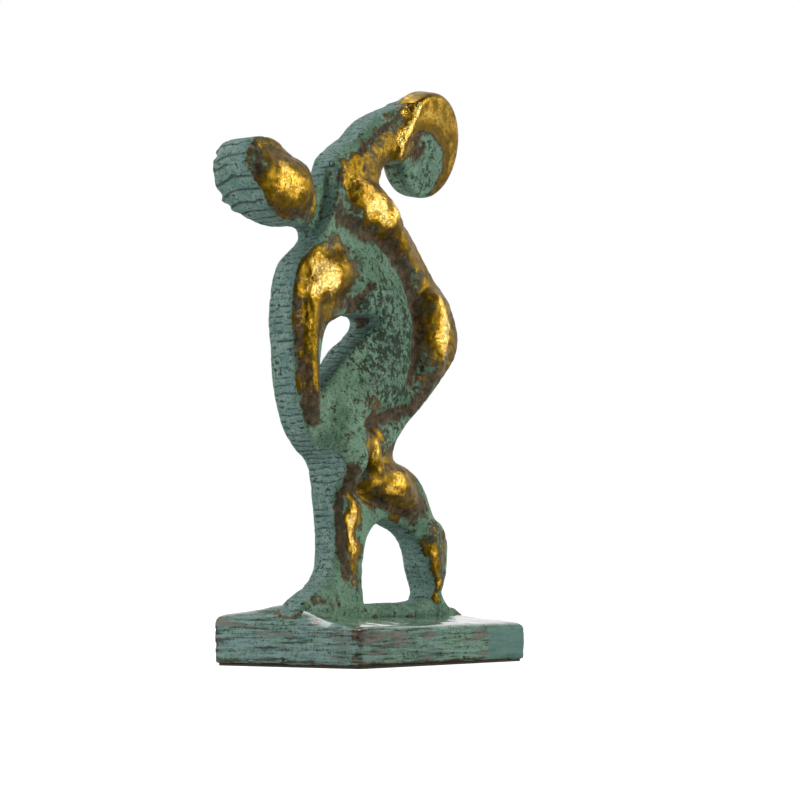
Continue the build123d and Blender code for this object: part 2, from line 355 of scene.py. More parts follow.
def discus_field(x, y, z):
    """Signed distance to the discus: a disc with a soft rim and a slightly swelling face."""
    dx, dy, dz = x - discus_middle[0], y - discus_middle[1], z - discus_middle[2]
    h = dx * discus_facing[0] + dy * discus_facing[1] + dz * discus_facing[2]
    r = np.sqrt(np.clip(dx * dx + dy * dy + dz * dz - h * h, 0, None))
    return blend_max(r - discus_radius, np.abs(h) - discus_thick / 2 + 0.02 * r, 0.9)


def rod(x, y, z, start, end, radius):
    """Signed distance to a round-ended rod."""
    a, b = np.array(start), np.array(end) - start
    t = np.clip(((x - a[0]) * b[0] + (y - a[1]) * b[1] + (z - a[2]) * b[2]) / (b @ b), 0, 1)
    away = (x - a[0] - t * b[0]) ** 2 + (y - a[1] - t * b[1]) ** 2 + (z - a[2] - t * b[2]) ** 2
    return np.sqrt(away) - radius


# four fingers spread over the back of the discus, each a little shorter than the one above
finger_radius, finger_pitch, finger_root_fillet, top_finger_z = 0.72, 1.75, 0.5, 67.0
for number in range(4):
    root_z = top_finger_z - finger_pitch * number
    back_y = 2.1 - 0.22 * (root_z - discus_middle[2])
    root = (5.2 - 0.35 * number, back_y + 0.1, root_z)
    tip = (10.4 - 0.7 * number, back_y + 0.25, root_z - 0.5)
    solid = -blend_max(-solid, -rod(X3, Y3, Z3, root, tip, finger_radius), finger_root_fillet)

# the discus's seat in the hand, and the tapped holes up into both feet
solid = np.maximum(solid, -discus_field(X3, Y3, Z3))
tap_radius, tap_depth = 1.03, 2.35
for x in screw_x:
    hole = np.maximum(np.hypot(X3 - x, Y3) - tap_radius, Z3 - ground - tap_depth)
    solid = np.maximum(solid, -hole)
points, faces = surface_of(solid, gx, gy, gz)


def corner_normals(points, faces):
    """The mean direction of the faces round each corner."""
    p = points[faces]
    n = np.cross(p[:, 2] - p[:, 0], p[:, 3] - p[:, 1])
    total = np.zeros(points.shape)
    for i in range(4):
        np.add.at(total, faces[:, i], n)
    return total / (np.linalg.norm(total, axis=1)[:, None] + 1e-12)


def noise(points, size, seed):
    """Soft random values from 0 to 1 through space, with lumps of a size in mm."""
    table = np.random.default_rng(seed).random((32, 32, 32))
    q = np.asarray(points) / size + 500.0
    i = np.floor(q).astype(int)
    f = q - i
    f = f * f * (3 - 2 * f)
    total = np.zeros(len(q))
    for a in (0, 1):
        for b in (0, 1):
            for c in (0, 1):
                w = ((f[:, 0] if a else 1 - f[:, 0]) * (f[:, 1] if b else 1 - f[:, 1])
                     * (f[:, 2] if c else 1 - f[:, 2]))
                total += w * table[(i[:, 0] + a) % 32, (i[:, 1] + b) % 32, (i[:, 2] + c) % 32]
    return total


def sample(field, points, xs, zs):
    """A field of the profile plane, read at each corner."""
    u = np.clip((points[:, 0] - xs[0]) / (xs[1] - xs[0]), 0, len(xs) - 1.001)
    v = np.clip((points[:, 2] - zs[0]) / (zs[1] - zs[0]), 0, len(zs) - 1.001)
    i, j = u.astype(int), v.astype(int)
    u, v = u - i, v - j
    return ((field[i, j] * (1 - u) + field[i + 1, j] * u) * (1 - v)
            + (field[i, j + 1] * (1 - u) + field[i + 1, j + 1] * u) * v)


def fullness(field, points, xs, ys, zs, reach):
    """How much metal lies round each corner: under a half on a crest, over it in a hollow."""
    f = (field < 0).astype(np.float32)
    step = xs[1] - xs[0]
    n = max(1, int(round(reach / step)))
    for axis in range(3):
        pad = [(0, 0)] * 3
        pad[axis] = (n + 1, n)
        c = np.cumsum(np.pad(f, pad), axis=axis, dtype=np.float64)
        hi = [slice(None)] * 3
        lo = [slice(None)] * 3
        hi[axis] = slice(2 * n + 1, None)
        lo[axis] = slice(0, -2 * n - 1)
        f = ((c[tuple(hi)] - c[tuple(lo)]) / (2 * n + 1)).astype(np.float32)
    q = (points - [xs[0], ys[0], zs[0]]) / step
    q = np.clip(q, 0, np.array(f.shape) - 1.001)
    i = q.astype(int)
    w = q - i
    total = 0
    for a in (0, 1):
        for b in (0, 1):
            for c in (0, 1):
                k = (abs(1 - a - w[:, 0]) * abs(1 - b - w[:, 1]) * abs(1 - c - w[:, 2]))
                total = total + k * f[i[:, 0] + a, i[:, 1] + b, i[:, 2] + c]
    return total


normal = corner_normals(points, faces)
depth_in = -sample(edge, points, gx, gz)
round_it = sample(along, points, gx, gz)
x, y, z = points.T
neck_wall = bump(x, z, -11.6, 53.2, 2.6, 5.4, 8) ** 0.3 * (y < 0)
on_edge = np.clip(1.4 - depth_in, 0, 1)
side = np.clip(1.3 - 1.9 * np.abs(normal[:, 1]), 0, 1) * np.maximum(on_edge, neck_wall)
face_zone = bump(x, z, -21.0, 54.6, 8.5, 6.5) ** 0.3 * (y > 0)
small = fullness(solid, points, gx, gy, gz, 0.7)
large = fullness(solid, points, gx, gy, gz, 1.8)
facing_near = np.clip(-normal[:, 1] * 2.4 - 0.35, 0, 1)
facing_far = np.clip(normal[:, 1] * 1.6 - 0.2, 0, 1)

# where handling has rubbed the patina off: place along X and Z, size, turn and strength
near_rubs = [
    (-20.4, 54.6, 9.0, 6.6, 0, 0.78), (-21.9, 54.3, 4.2, 3.4, 0, 1.25),         # the head
    (-21.2, 57.4, 5.0, 3.0, 0, 0.6),
    (-12.6, 43.8, 7.6, 6.6, 20, 0.78), (-13.8, 44.4, 4.4, 3.6, 20, 1.6),        # the shoulder
    (-15.4, 36.8, 3.0, 11.0, 4, 0.74), (-15.7, 38.0, 1.3, 6.0, 4, 1.05),        # the hanging arm
    (-1.4, 58.8, 10.5, 5.4, 42, 0.74), (-6.4, 56.4, 4.2, 3.0, -40, 1.15),       # the raised arm
    (-2.4, 53.8, 6.4, 4.4, -40, 0.85), (-3.0, 53.6, 5.0, 3.4, -35, 1.5),        # the shoulder blade
    (4.6, 50.4, 3.6, 9.0, 38, 0.7), (3.5, 64.6, 7.0, 1.0, 62, 1.5),             # the back, the wrist
    (10.4, 41.0, 6.2, 10.4, 8, 0.76), (9.4, 41.0, 2.4, 6.8, 8, 1.55),           # the buttock
    (-3.7, 25.0, 3.4, 6.8, 10, 0.78), (-3.8, 24.6, 1.2, 3.6, 10, 1.25),         # behind the knee
    (0.4, 21.8, 8.8, 5.8, -12, 0.78), (0.2, 21.4, 2.8, 2.4, -12, 1.25),         # the trailing calf
    (-3.8, 20.8, 1.8, 1.8, 0, 1.1), (6.0, 19.0, 4.4, 3.4, -40, 0.5),
    (-7.3, 15.2, 2.4, 7.4, 2, 0.7), (-7.5, 15.6, 1.1, 5.6, 2, 1.6),             # the standing shin
    (9.8, 12.6, 3.6, 6.0, 0, 0.42), (9.4, 12.4, 0.9, 2.6, 0, 1.0),              # the trailing foot
    (10.2, 8.6, 1.0, 2.4, 0, 1.0), (12.0, 13.0, 1.4, 3.0, 0, 0.75),
    (7.4, 32.6, 6.6, 2.6, 42, 0.4),                                             # under the thigh
]
far_rubs = [
    (-21.0, 54.8, 8.0, 5.6, 0, 0.3),                                            # the head
    (-4.6, 50.8, 8.0, 7.0, -25, 0.5), (-4.4, 51.4, 4.2, 3.2, -25, 1.15),        # the chest
    (-12.6, 43.5, 5.6, 8.0, 10, 0.5), (-13.2, 44.2, 2.6, 4.0, 10, 1.1),         # the shoulder
    (0.6, 61.6, 11.5, 5.6, 38, 0.5), (3.0, 63.4, 5.0, 2.0, 38, 1.1),            # the raised arm
    (-0.4, 44.6, 9.0, 7.0, -40, 0.35),                                          # the belly
    (8.6, 40.4, 6.6, 8.6, 0, 0.5), (9.4, 41.6, 3.0, 5.0, 0, 1.2),               # the hip
    (-1.0, 33.2, 12.0, 6.0, 36, 0.5), (0.4, 34.4, 6.5, 2.8, 36, 1.1),           # the thigh
    (-7.8, 24.8, 5.0, 5.4, 0, 0.55), (-7.4, 25.2, 2.6, 3.0, 0, 1.05),           # the knee
    (-7.2, 16.4, 2.6, 8.4, 0, 0.5), (-7.3, 15.6, 1.2, 5.6, 0, 1.05),            # the shin
    (2.2, 19.2, 9.4, 4.6, -20, 0.5), (4.2, 19.0, 4.0, 2.2, -20, 1.1),           # the trailing calf
    (10.0, 12.4, 3.4, 8.0, 0, 0.5),                                             # the trailing foot
]
rub = np.zeros(len(points))
wander = 2.6                                   # the rubbed places have uneven borders
x_uneven = x + wander * (noise(points, 1.7, 41) - 0.5)
z_uneven = z + wander * (noise(points, 1.7, 42) - 0.5)
for spots, facing in ((near_rubs, facing_near), (far_rubs, facing_far)):
    for cx, cz, rx, rz, turn, strength in spots:
        rub = np.maximum(rub, strength * bump(x_uneven, z_uneven, cx, cz, rx, rz, turn) ** 0.5 * facing)
rub = rub + 0.9 * np.clip(0.44 - large, 0, 1) * np.maximum(facing_near, facing_far)
far_ridges = np.clip(sample(far_crest, points, gx, gz), -0.3, 0.7) * facing_far
rub = rub + 1.1 * far_ridges * (0.6 + 0.8 * noise(points, 5.0, 33))
rub = np.clip(rub * (1 - 0.9 * side) * np.clip((z - ground - 0.6) / 1.5, 0, 1), 0, 1.4)

# where the dark ground coat is left in hollows and grooves, and painted shade in lines beside
# the walls' near edges, each line a path, a width and a strength
groove_and_shade_lines = [
    ([(-16.3, 45.4), (-17.0, 42.0), (-17.1, 38.0), (-16.4, 34.5), (-15.8, 30.5), (-14.6, 28.2)],
     1.0, 1.1),
    ([(-25.6, 58.2), (-25.9, 55.0), (-25.0, 52.2), (-22.0, 51.2), (-16.5, 51.2)], 0.6, 0.9),
    ([(-9.3, 21.4), (-9.3, 18.0), (-9.0, 15.0), (-8.8, 12.5), (-8.2, 10.6)], 0.9, 1.2),
    ([(-10.2, 22.6), (-8.6, 20.8), (-5.8, 20.2), (-2.6, 19.3), (0.4, 18.4), (4.0, 17.6)], 0.9, 1.1),
    ([(-9.6, 57.2), (-6.8, 59.5), (-4.2, 61.6), (-1.2, 63.8), (1.6, 65.2), (4.5, 66.8)], 0.5, 1.0),
    ([(-9.4, 54.6), (-10.0, 51.6), (-11.4, 48.8), (-12.8, 46.8)], 0.45, 0.5),
    ([(-9.6, 56.4), (-7.6, 57.0), (-5.6, 58.2)], 0.7, 0.7),
    ([(-0.5, 50.2), (3.0, 47.2), (5.2, 44.2), (6.2, 41.0), (6.0, 37.6), (4.8, 34.0)], 1.1, 1.1),
    ([(-9.8, 52.6), (-5.0, 50.9), (0.5, 49.6)], 1.4, 0.8),
    ([(-9.0, 41.6), (-6.4, 42.4), (-4.0, 44.4)], 0.8, 0.9),
    ([(-5.8, 27.4), (-3.4, 28.4), (0.6, 29.4), (4.6, 30.2), (8.6, 33.4)], 1.3, 1.0),
    ([(-8.4, 30.4), (-5.4, 32.4), (-2.6, 33.4)], 0.7, 0.5),
]
uneven = noise(points, 2.4, 31)
hollow = np.clip((small - 0.54) * 4, 0, 1) + np.clip((large - 0.58) * 4, 0, 1)
hollow = hollow * (1 - 0.75 * neck_wall) + 1.6 * np.clip(small - 0.515, 0, 1) * 4 * face_zone
for path, width, depth in groove_and_shade_lines:
    line = np.exp(-(near_path(path, x, z) / (width * (0.55 + 0.9 * uneven))) ** 2)
    hollow = hollow + depth * line * facing_near
hollow = hollow + 0.9 * bump(x, z, -14.9, 30.0, 2.4, 3.0) * facing_near
# darker below the raised arm and on the underside of the trailing calf
under_arm_and_calf = bump(x, z, -6.8, 50.6, 4.0, 2.8) + bump(x, z, 6.8, 19.0, 4.4, 3.2, -40)
hollow = hollow + 0.55 * under_arm_and_calf * facing_near
hollow = hollow + 0.75 * bump(x, z, -13.6, 7.8, 2.2, 1.5) * noise(points, 0.7, 37) * 2 * facing_near
hollow = hollow + 0.55 * bump(x, z, -10.6, 7.0, 2.6, 1.8) * noise(points, 0.7, 37) * 2 * facing_near
hollow = np.clip(hollow, 0, 1)
# more dark flecks on the near side's torso and thigh, partly the patina's own mottle and partly painted
# shade
mottle_and_shade = 0.3 + 0.7 * np.clip(1.5 * bump(x, z, -0.5, 37.0, 11.0, 15.0, 20), 0, 1) * facing_near
mottle_and_shade = np.maximum(mottle_and_shade, 0.7 * bump(x, z, -3.0, 48.5, 7.0, 4.5) ** 0.5 * facing_near)
mottle_and_shade = np.maximum(mottle_and_shade, 0.75 * facing_far * noise(points, 5.0, 32))
crest = np.clip((0.42 - small) * 8, 0, 1)

# the cast skin: file strokes across the walls, soft lumps, and a crust where it is rubbed
stray = 1.1 * noise(points, 3.0, 3) + 0.5 * noise(points, 1.1, 4)
body_pitch, hair_pitch = 0.82, 1.5
pitch = np.where((z > head_level) & (x < -14), hair_pitch, body_pitch)
stroke = np.abs(np.sin(math.pi * (round_it + stray) / pitch)) ** 0.5
strength = (0.3 + 0.7 * noise(points, 3.0, 5)) * np.where((z > 57) & (x > -10), 0.4, 1.0)
strength = strength * np.clip(0.35 + (z - 9) / 14, 0.35, 1)
crust = np.abs(noise(points * [1, 1, 0.8], 0.62, 6) - 0.5) + np.abs(noise(points, 1.1, 8) - 0.5)
skin = 0.16 * (noise(points, 2.6, 1) - 0.5) + 0.07 * (noise(points, 0.9, 2) - 0.5)
skin = skin + side * strength * 0.15 * (stroke - 0.7)
cut = side * (0.35 + strength) * np.clip(1.15 - 1.5 * stroke, 0, 1) * 1.2
skin = skin + (1 - side) * (0.08 + 0.3 * np.clip(rub - 0.3, 0, 1)) * (crust - 0.4)
skin = skin * (1 - 0.75 * face_zone)
pits = np.clip(noise(points, 0.75, 7) - 0.66, 0, 1) * 3 * (1 - face_zone)
skin = skin - (1 - side) * (1 - 0.7 * rub) * 0.16 * pits
above = np.clip((z - ground + sunk_sole) / 0.6, 0, 1)
points = points + normal * (skin * above)[:, None]


def mesh_piece(name, points, faces, values):
    """A smooth mesh piece in metres, with the named values that its material reads."""
    mesh = bpy.data.meshes.new(name)
    mesh.vertices.add(len(points))
    mesh.vertices.foreach_set("co", (np.asarray(points) * mm).ravel())
    mesh.loops.add(faces.size)
    mesh.loops.foreach_set("vertex_index", faces.ravel())
    mesh.polygons.add(len(faces))
    mesh.polygons.foreach_set("loop_start", np.arange(len(faces)) * faces.shape[1])
    mesh.update(calc_edges=True)
    mesh.polygons.foreach_set("use_smooth", np.ones(len(faces), bool))
    for key, value in values.items():
        mesh.attributes.new(key, "FLOAT", "POINT").data.foreach_set("value", value.astype(np.float32))
    piece = bpy.data.objects.new(name, mesh)
    bpy.context.scene.collection.objects.link(piece)
    return piece


figure = mesh_piece("figure_casting", points, faces,
                    {"rub": np.maximum(rub, 0.38 * crest), "hollow": hollow, "side": side, "cut": cut,
                     "mottle_and_shade": mottle_and_shade})


def linear(red, green, blue):
    """A colour written as it looks, from 0 to 255, as a shader needs it."""
    out = []
    for v in (red, green, blue):
        v = v / 255
        out.append(v / 12.92 if v <= 0.04045 else ((v + 0.055) / 1.055) ** 2.4)
    return tuple(out) + (1.0,)


class Sheet:
    """Writes shader nodes into one tree, a line for each."""

    def __init__(self, tree):
        self.tree = tree

    def put(self, socket, value):
        if isinstance(value, bpy.types.NodeSocket):
            self.tree.links.new(value, socket)
        else:
            socket.default_value = value

    def node(self, kind, **settings):
        made = self.tree.nodes.new(kind)
        for key, value in settings.items():
            setattr(made, key, value)
        return made

    def sum(self, operation, a, b=0.0):
        made = self.node("ShaderNodeMath", operation=operation)
        self.put(made.inputs[0], a)
        self.put(made.inputs[1], b)
        return made.outputs[0]

    def swing(self, value, amount):
        return self.sum("MULTIPLY", self.sum("SUBTRACT", value, 0.5), amount)

    def step(self, value, low, high, to_low=0.0, to_high=1.0):
        made = self.node("ShaderNodeMapRange", interpolation_type="SMOOTHSTEP")
        for index, item in enumerate((value, low, high, to_low, to_high)):
            self.put(made.inputs[index], item)
        return made.outputs[0]

    def speckle(self, place, size, detail=3.0, rough=0.55, stretch=None):
        if stretch:
            turned = self.node("ShaderNodeMapping")
            self.put(turned.inputs["Vector"], place)
            turned.inputs["Scale"].default_value = stretch
            place = turned.outputs["Vector"]
        made = self.node("ShaderNodeTexNoise")
        self.put(made.inputs["Vector"], place)
        made.inputs["Scale"].default_value = 1 / (size * mm)
        made.inputs["Detail"].default_value = detail
        made.inputs["Roughness"].default_value = rough
        return made.outputs["Fac"]

    def mix(self, factor, a, b):
        made = self.node("ShaderNodeMix", data_type="RGBA")
        self.put(made.inputs["Factor"], factor)
        self.put(made.inputs[6], a)
        self.put(made.inputs[7], b)
        return made.outputs[2]

    def between(self, factor, a, b):
        made = self.node("ShaderNodeMix", data_type="FLOAT")
        self.put(made.inputs["Factor"], factor)
        self.put(made.inputs[2], a)
        self.put(made.inputs[3], b)
        return made.outputs[0]


def make_patina():
    """The finish that all the cast brass has: green over a dark coat, rubbed back to metal."""
    group = bpy.data.node_groups.new("verdigris_over_brass", "ShaderNodeTree")
    face = group.interface
    for name, start in (("Rub", 0.0), ("Hollow", 0.0), ("Blue", 0.5), ("Mottle_and_shade", 0.5),
                        ("Cut", 0.0), ("Ragged", 1.0)):
        face.new_socket(name, in_out="INPUT", socket_type="NodeSocketFloat").default_value = start
    for name, kind in (("Color", "Color"), ("Bare", "Float"), ("Roughness", "Float"),
                       ("Height", "Float")):
        face.new_socket(name, in_out="OUTPUT", socket_type="NodeSocket" + kind)
    s = Sheet(group)
    ins = s.node("NodeGroupInput").outputs
    outs = s.node("NodeGroupOutput").inputs
    place = s.node("ShaderNodeTexCoord").outputs["Object"]
    # clouds and grains of several sizes, and a net of fine cracks
    broad = s.speckle(place, 4.5, 2.0)
    patch = s.speckle(place, 1.5, 6.0, 0.65)
    fleck = s.speckle(place, 0.55, 5.0, 0.7)
    grain = s.speckle(place, 0.18, 2.0, 0.6)
    dust = s.speckle(place, 0.8, 6.0, 0.75)
    grit = s.speckle(place, 0.26, 4.0, 0.75)
    crack = s.sum("ABSOLUTE", s.sum("SUBTRACT", s.speckle(place, 0.9, 3.0, 0.6), 0.5))
    # the green coat, bluer on the walls, with pale dust and dark grit in it
    green = s.mix(s.step(broad, 0.35, 0.65), linear(90, 126, 100), linear(116, 152, 124))
    blue = s.mix(s.step(patch, 0.35, 0.65), linear(98, 130, 124), linear(124, 152, 144))
    coat = s.mix(ins["Blue"], green, blue)
    coat = s.mix(s.step(dust, 0.5, 0.66, 0.0, 0.6), coat, linear(148, 168, 150))
    coat = s.mix(s.step(grit, 0.51, 0.62, 0.0, 0.72), coat, linear(38, 52, 42))
    # dark flecks, denser where the coat is mottled and where shade is painted, and lines where a file
    # has cut it
    dark_green = s.mix(s.step(fleck, 0.3, 0.7), linear(18, 26, 18), linear(44, 58, 42))
    worn = s.sum("ADD", s.sum("MULTIPLY", patch, 0.4), s.sum("MULTIPLY", fleck, 0.6))
    worn_here = s.sum("ADD", worn, s.sum("MULTIPLY", ins["Mottle_and_shade"], 0.11))
    dark_bits = s.step(worn_here, 0.575, 0.635)
    coat = s.mix(s.sum("MULTIPLY", dark_bits, 0.92), coat, dark_green)
    coat = s.mix(s.step(ins["Cut"], 0.05, 0.8, 0.0, 0.75), coat, dark_green)
    # the brown ground coat, in the hollows and round the rubbed places
    soot = s.mix(s.step(dust, 0.35, 0.65), linear(34, 24, 12), linear(96, 72, 44))
    sunk = s.step(s.sum("ADD", ins["Hollow"], s.swing(worn, 2.2)), 0.3, 0.8)
    coat = s.mix(s.sum("MULTIPLY", sunk, 0.92), coat, soot)
    # bare brass, with a ragged border, its colour painted shade at its edge and a painted highlight in
    # its middle, near white where it is most rubbed
    ragged = s.sum("ADD", s.swing(patch, 1.3), s.swing(fleck, 1.2))
    ragged = s.sum("MULTIPLY", ragged, ins["Ragged"])
    open_to = s.sum("ADD", s.sum("SUBTRACT", s.sum("MULTIPLY", ins["Rub"], 1.25), 0.2), ragged)
    open_to = s.sum("SUBTRACT", open_to, s.sum("MULTIPLY", sunk, 0.25))
    coat = s.mix(s.step(open_to, 0.02, 0.24, 0.0, 0.85), coat, soot)
    bare = s.sum("MULTIPLY", s.step(open_to, 0.24, 0.46), s.step(ins["Rub"], 0.03, 0.15))
    even_rub = s.sum("SUBTRACT", open_to, s.sum("MULTIPLY", ragged, 0.25))
    highlight_and_wear = s.step(even_rub, 0.8, 1.25)
    glint_highlight = s.step(even_rub, 1.25, 1.7)
    # painted light on the bare metal: a dark colour for shade, a light one for highlights and a near
    # white one for glints
    shaded_brass = s.mix(s.step(dust, 0.35, 0.65), linear(88, 68, 8), linear(132, 102, 18))
    highlit_brass = s.mix(s.step(patch, 0.35, 0.65), linear(236, 176, 46), linear(252, 206, 88))
    highlit_brass = s.mix(glint_highlight, highlit_brass, linear(255, 226, 138))
    veins = s.sum("MULTIPLY", s.step(crack, 0.05, 0.01), s.step(dust, 0.42, 0.52))
    veins = s.sum("MULTIPLY", veins, s.step(even_rub, 1.15, 1.7, 1.0, 0.3))
    highlit_brass = s.mix(s.sum("MULTIPLY", veins, 0.85), highlit_brass, linear(52, 38, 12))
    s.put(outs["Color"], s.mix(bare, coat, s.mix(highlight_and_wear, shaded_brass, highlit_brass)))
    s.put(outs["Bare"], bare)
    # how rough each is, and the fine relief
    gloss = s.sum("ADD", s.step(fleck, 0.3, 0.7, 0.26, 0.34),
                  s.sum("MULTIPLY", s.sum("SUBTRACT", 1.0, highlight_and_wear), 0.04))
    matt = s.step(fleck, 0.3, 0.7, 0.5, 0.8)
    s.put(outs["Roughness"], s.between(bare, matt, gloss))
    height = s.sum("ADD", s.sum("MULTIPLY", fleck, s.step(open_to, 0.25, 1.0, 0.4, 1.0)),
                   s.sum("MULTIPLY", grain, 0.15))
    cracked = s.sum("MULTIPLY", s.step(crack, 0.0, 0.12), s.sum("MULTIPLY", highlight_and_wear, 0.7))
    height = s.sum("ADD", height, cracked)
    s.put(outs["Height"], s.sum("SUBTRACT", height, s.sum("MULTIPLY", dark_bits, 0.2)))
    return group


patina = make_patina()


def new_material(name):
    """A material, the sheet that writes into it, and its one shader."""
    made = bpy.data.materials.new(name)
    made.use_nodes = True
    return made, Sheet(made.node_tree), made.node_tree.nodes["Principled BSDF"]


def raise_by(s, shader, height, depth, strength=1.0):
    """Gives a shader the fine relief of a height from 0 to 1, with its depth in mm."""
    relief_node = s.node("ShaderNodeBump")
    relief_node.inputs["Strength"].default_value = strength
    relief_node.inputs["Distance"].default_value = depth * mm
    s.put(relief_node.inputs["Height"], height)
    s.put(shader.inputs["Normal"], relief_node.outputs["Normal"])


def brass_material(name, rub, hollow, blue, mottle_and_shade, cut=0.0, depth=0.12, ragged=1.0):
    """A material with the patina on it. Each value is a number or the name of an attribute."""
    made, s, shader = new_material(name)
    shader.inputs["Specular IOR Level"].default_value = 0.15
    finish = s.node("ShaderNodeGroup", node_tree=patina)
    for socket, value in (("Rub", rub), ("Hollow", hollow), ("Blue", blue), ("Mottle_and_shade", mottle_and_shade),
                          ("Cut", cut), ("Ragged", ragged)):
        if isinstance(value, str):
            value = s.node("ShaderNodeAttribute", attribute_name=value).outputs["Fac"]
        s.put(finish.inputs[socket], value)
    s.put(shader.inputs["Base Color"], finish.outputs["Color"])
    s.put(shader.inputs["Metallic"], finish.outputs["Bare"])
    s.put(shader.inputs["Roughness"], finish.outputs["Roughness"])
    raise_by(s, shader, finish.outputs["Height"], depth, 0.8)
    return made, s, shader


cast_brass = brass_material("cast_brass", "rub", "hollow", "side", "mottle_and_shade", "cut")[0]
figure.data.materials.append(cast_brass)
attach(figure, "root")
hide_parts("figure")

# ======================================================================================
# The discus: a small turned brass disc with a rounded rim, made on its own and soldered
# into its seat in the raised hand. Handling has rubbed its rim and the upper part of its
# face to bare metal, coloured with painted highlights, and the green stays low on its face.
# ======================================================================================
disc_cell = 0.2
dx = np.arange(2.4, 17.4, disc_cell)
dy = np.arange(-4.4, 4.4, disc_cell)
dz = np.arange(56.8, 71.0, disc_cell)
grid = np.meshgrid(dx, dy, dz, indexing="ij")
points, faces = surface_of(discus_field(*grid), dx, dy, dz)
normal = corner_normals(points, faces)
x, y, z = points.T
on_face = np.clip(-normal[:, 1] * 2.5 - 1.2, 0, 1)
green_patch = bump(x, z, 8.4, 60.6, 6.2, 5.2, 20)
handled = np.clip(on_face + (normal[:, 2] > 0.2) + (normal[:, 0] > 0.5), 0, 1)
rub = np.clip(0.92 - 1.5 * green_patch ** 0.6 + 0.3 * (noise(points, 1.0, 13) - 0.5), 0, 1) * handled
rub = np.maximum(rub, 0.8 * np.clip(normal[:, 1] * 2 - 1, 0, 1) * (1 - bump(x, z, 9, 64, 5.5, 5.5)))
# darker in a patch on the left of the face and along the left half of the rim
hollow = (1.2 * bump(x, z, 6.6, 62.8, 3.2, 4.4) * on_face * (0.4 + noise(points, 0.9, 14))
          + 0.55 * (1 - np.abs(normal[:, 1])) * (x < 8))
skin = 0.06 * (noise(points, 1.8, 11) - 0.5) + 0.05 * np.abs(noise(points, 0.6, 12) - 0.5) * (1 - rub)
points = points + normal * skin[:, None]
discus = mesh_piece("discus_disc", points, faces, {"rub": rub, "hollow": np.clip(hollow, 0, 1)})
discus_brass = brass_material("discus_brass", "rub", "hollow", 0.15, 0.6, depth=0.02, ragged=0.3)[0]
discus.data.materials.append(discus_brass)
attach(discus, "root")
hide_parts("discus")

# ======================================================================================
# The plinth: a cast brass block with a swelling top, bored and counterbored from below for
# the two screws that hold the figure's feet. Its walls are scraped lengthways and have a
# greyish stain over the green, and its top is waxed.
# ======================================================================================
plinth_low, plinth_high = (np.array(c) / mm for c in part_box("plinth"))
half_x, half_y = plinth_high[0], plinth_high[1]
plinth_cell = 0.27
px = np.arange(-half_x - 0.6, half_x + 0.8, plinth_cell)
py = np.arange(-half_y - 0.6, half_y + 0.8, plinth_cell)
pz = np.arange(plinth_low[2] - 0.6, plinth_high[2] + 2.4, plinth_cell)
X3, Y3, Z3 = np.meshgrid(px, py, pz, indexing="ij")
rim, crown_height = 4.6, 0.85                  # the top's height at its long edges, and its swell
land_half_width = 2.8                          # the flat land under the feet
thick_end_rise, toe_rise, heel_rise = 1.15, 0.6, 0.5
corner_round, top_round, foot_round = 1.1, 0.9, 0.25
through_radius, bore_clearance = 1.2, 0.2


def ease(value):
    """A smooth step from 0 to 1."""
    t = np.clip(value, 0, 1)
    return t * t * (3 - 2 * t)


# the casting is thicker at its standing-foot end, and its top swells to the land
across = np.clip((half_y - np.abs(Y3)) / (half_y - land_half_width), 0, 1)
lengthways = ease((half_x - np.abs(X3)) / 1.5)
thick_end = thick_end_rise * ease((-X3 - 3.0) / 11.0) * ease((Y3 + 7.0) / 8.5)
foot_mounds = toe_rise * np.exp(-((X3 + 13.5) / 3.0) ** 2 - ((Y3 - 1.2) / 3.4) ** 2)
foot_mounds = foot_mounds + heel_rise * np.exp(-((X3 - 12.2) / 3.0) ** 2 - ((Y3 - 1.6) / 3.6) ** 2)
top = (rim + crown_height * across ** 0.9 * lengthways + thick_end
       + foot_mounds * (0.3 + 0.7 * lengthways))
box_side = blend_max(np.abs(X3) - half_x - 0.05, np.abs(Y3) - half_y - 0.05, corner_round)
block = blend_max(box_side, Z3 - top, top_round)
block = blend_max(block, plinth_low[2] - Z3, foot_round)
washer_low, washer_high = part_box("washers")
seat = washer_high[2] / mm
bore = (washer_high[1] - washer_low[1]) / mm / 2 + bore_clearance
for x in screw_x:
    counterbore = np.maximum(np.hypot(X3 - x, Y3) - bore, Z3 - seat)
    through = np.hypot(X3 - x, Y3) - through_radius
    block = np.maximum(block, -np.minimum(counterbore, through))
points, faces = surface_of(block, px, py, pz)
normal = corner_normals(points, faces)
x, y, z = points.T
full = fullness(block, points, px, py, pz, 0.8)
arris = np.clip((0.4 - full) * 9, 0, 1)
on_wall = np.clip(1.4 - 2 * np.abs(normal[:, 2]), 0, 1)
on_end = np.clip(-normal[:, 0] * 2 - 0.6, 0, 1)
on_top = np.clip(normal[:, 2] * 3 - 1.6, 0, 1)
scrape = noise(points * [0.22, 0.22, 1.7], 0.55, 23)
coarse = noise(points * [0.4, 0.4, 1.3], 1.6, 24)
pits = np.clip(noise(points, 0.8, 25) - 0.8, 0, 1) * 5
skin = 0.14 * (noise(points, 4.0, 21) - 0.5) + 0.07 * (noise(points, 1.2, 22) - 0.5)
skin = skin + on_wall * (0.1 * (scrape - 0.5) - 0.22 * pits)
points = points + normal * (skin * (z > plinth_low[2] + 0.3))[:, None]

# the stain and the dark on the walls, and a stretch of the worked side that stays clean
clean_length = 8.4
on_front = normal[:, 1] < -0.5
clean_patch = on_wall * (x > half_x - clean_length) * on_front
stained = np.clip((coarse - 0.42) * 2.4, 0, 1) * (0.55 + 0.45 * on_front * np.clip((z - 1.5) / 2, 0, 1))
stained = stained + 0.7 * bump(x, z, -11.5, 3.4, 8.0, 2.4) * on_front
front_arris = y < -half_y + 1.4
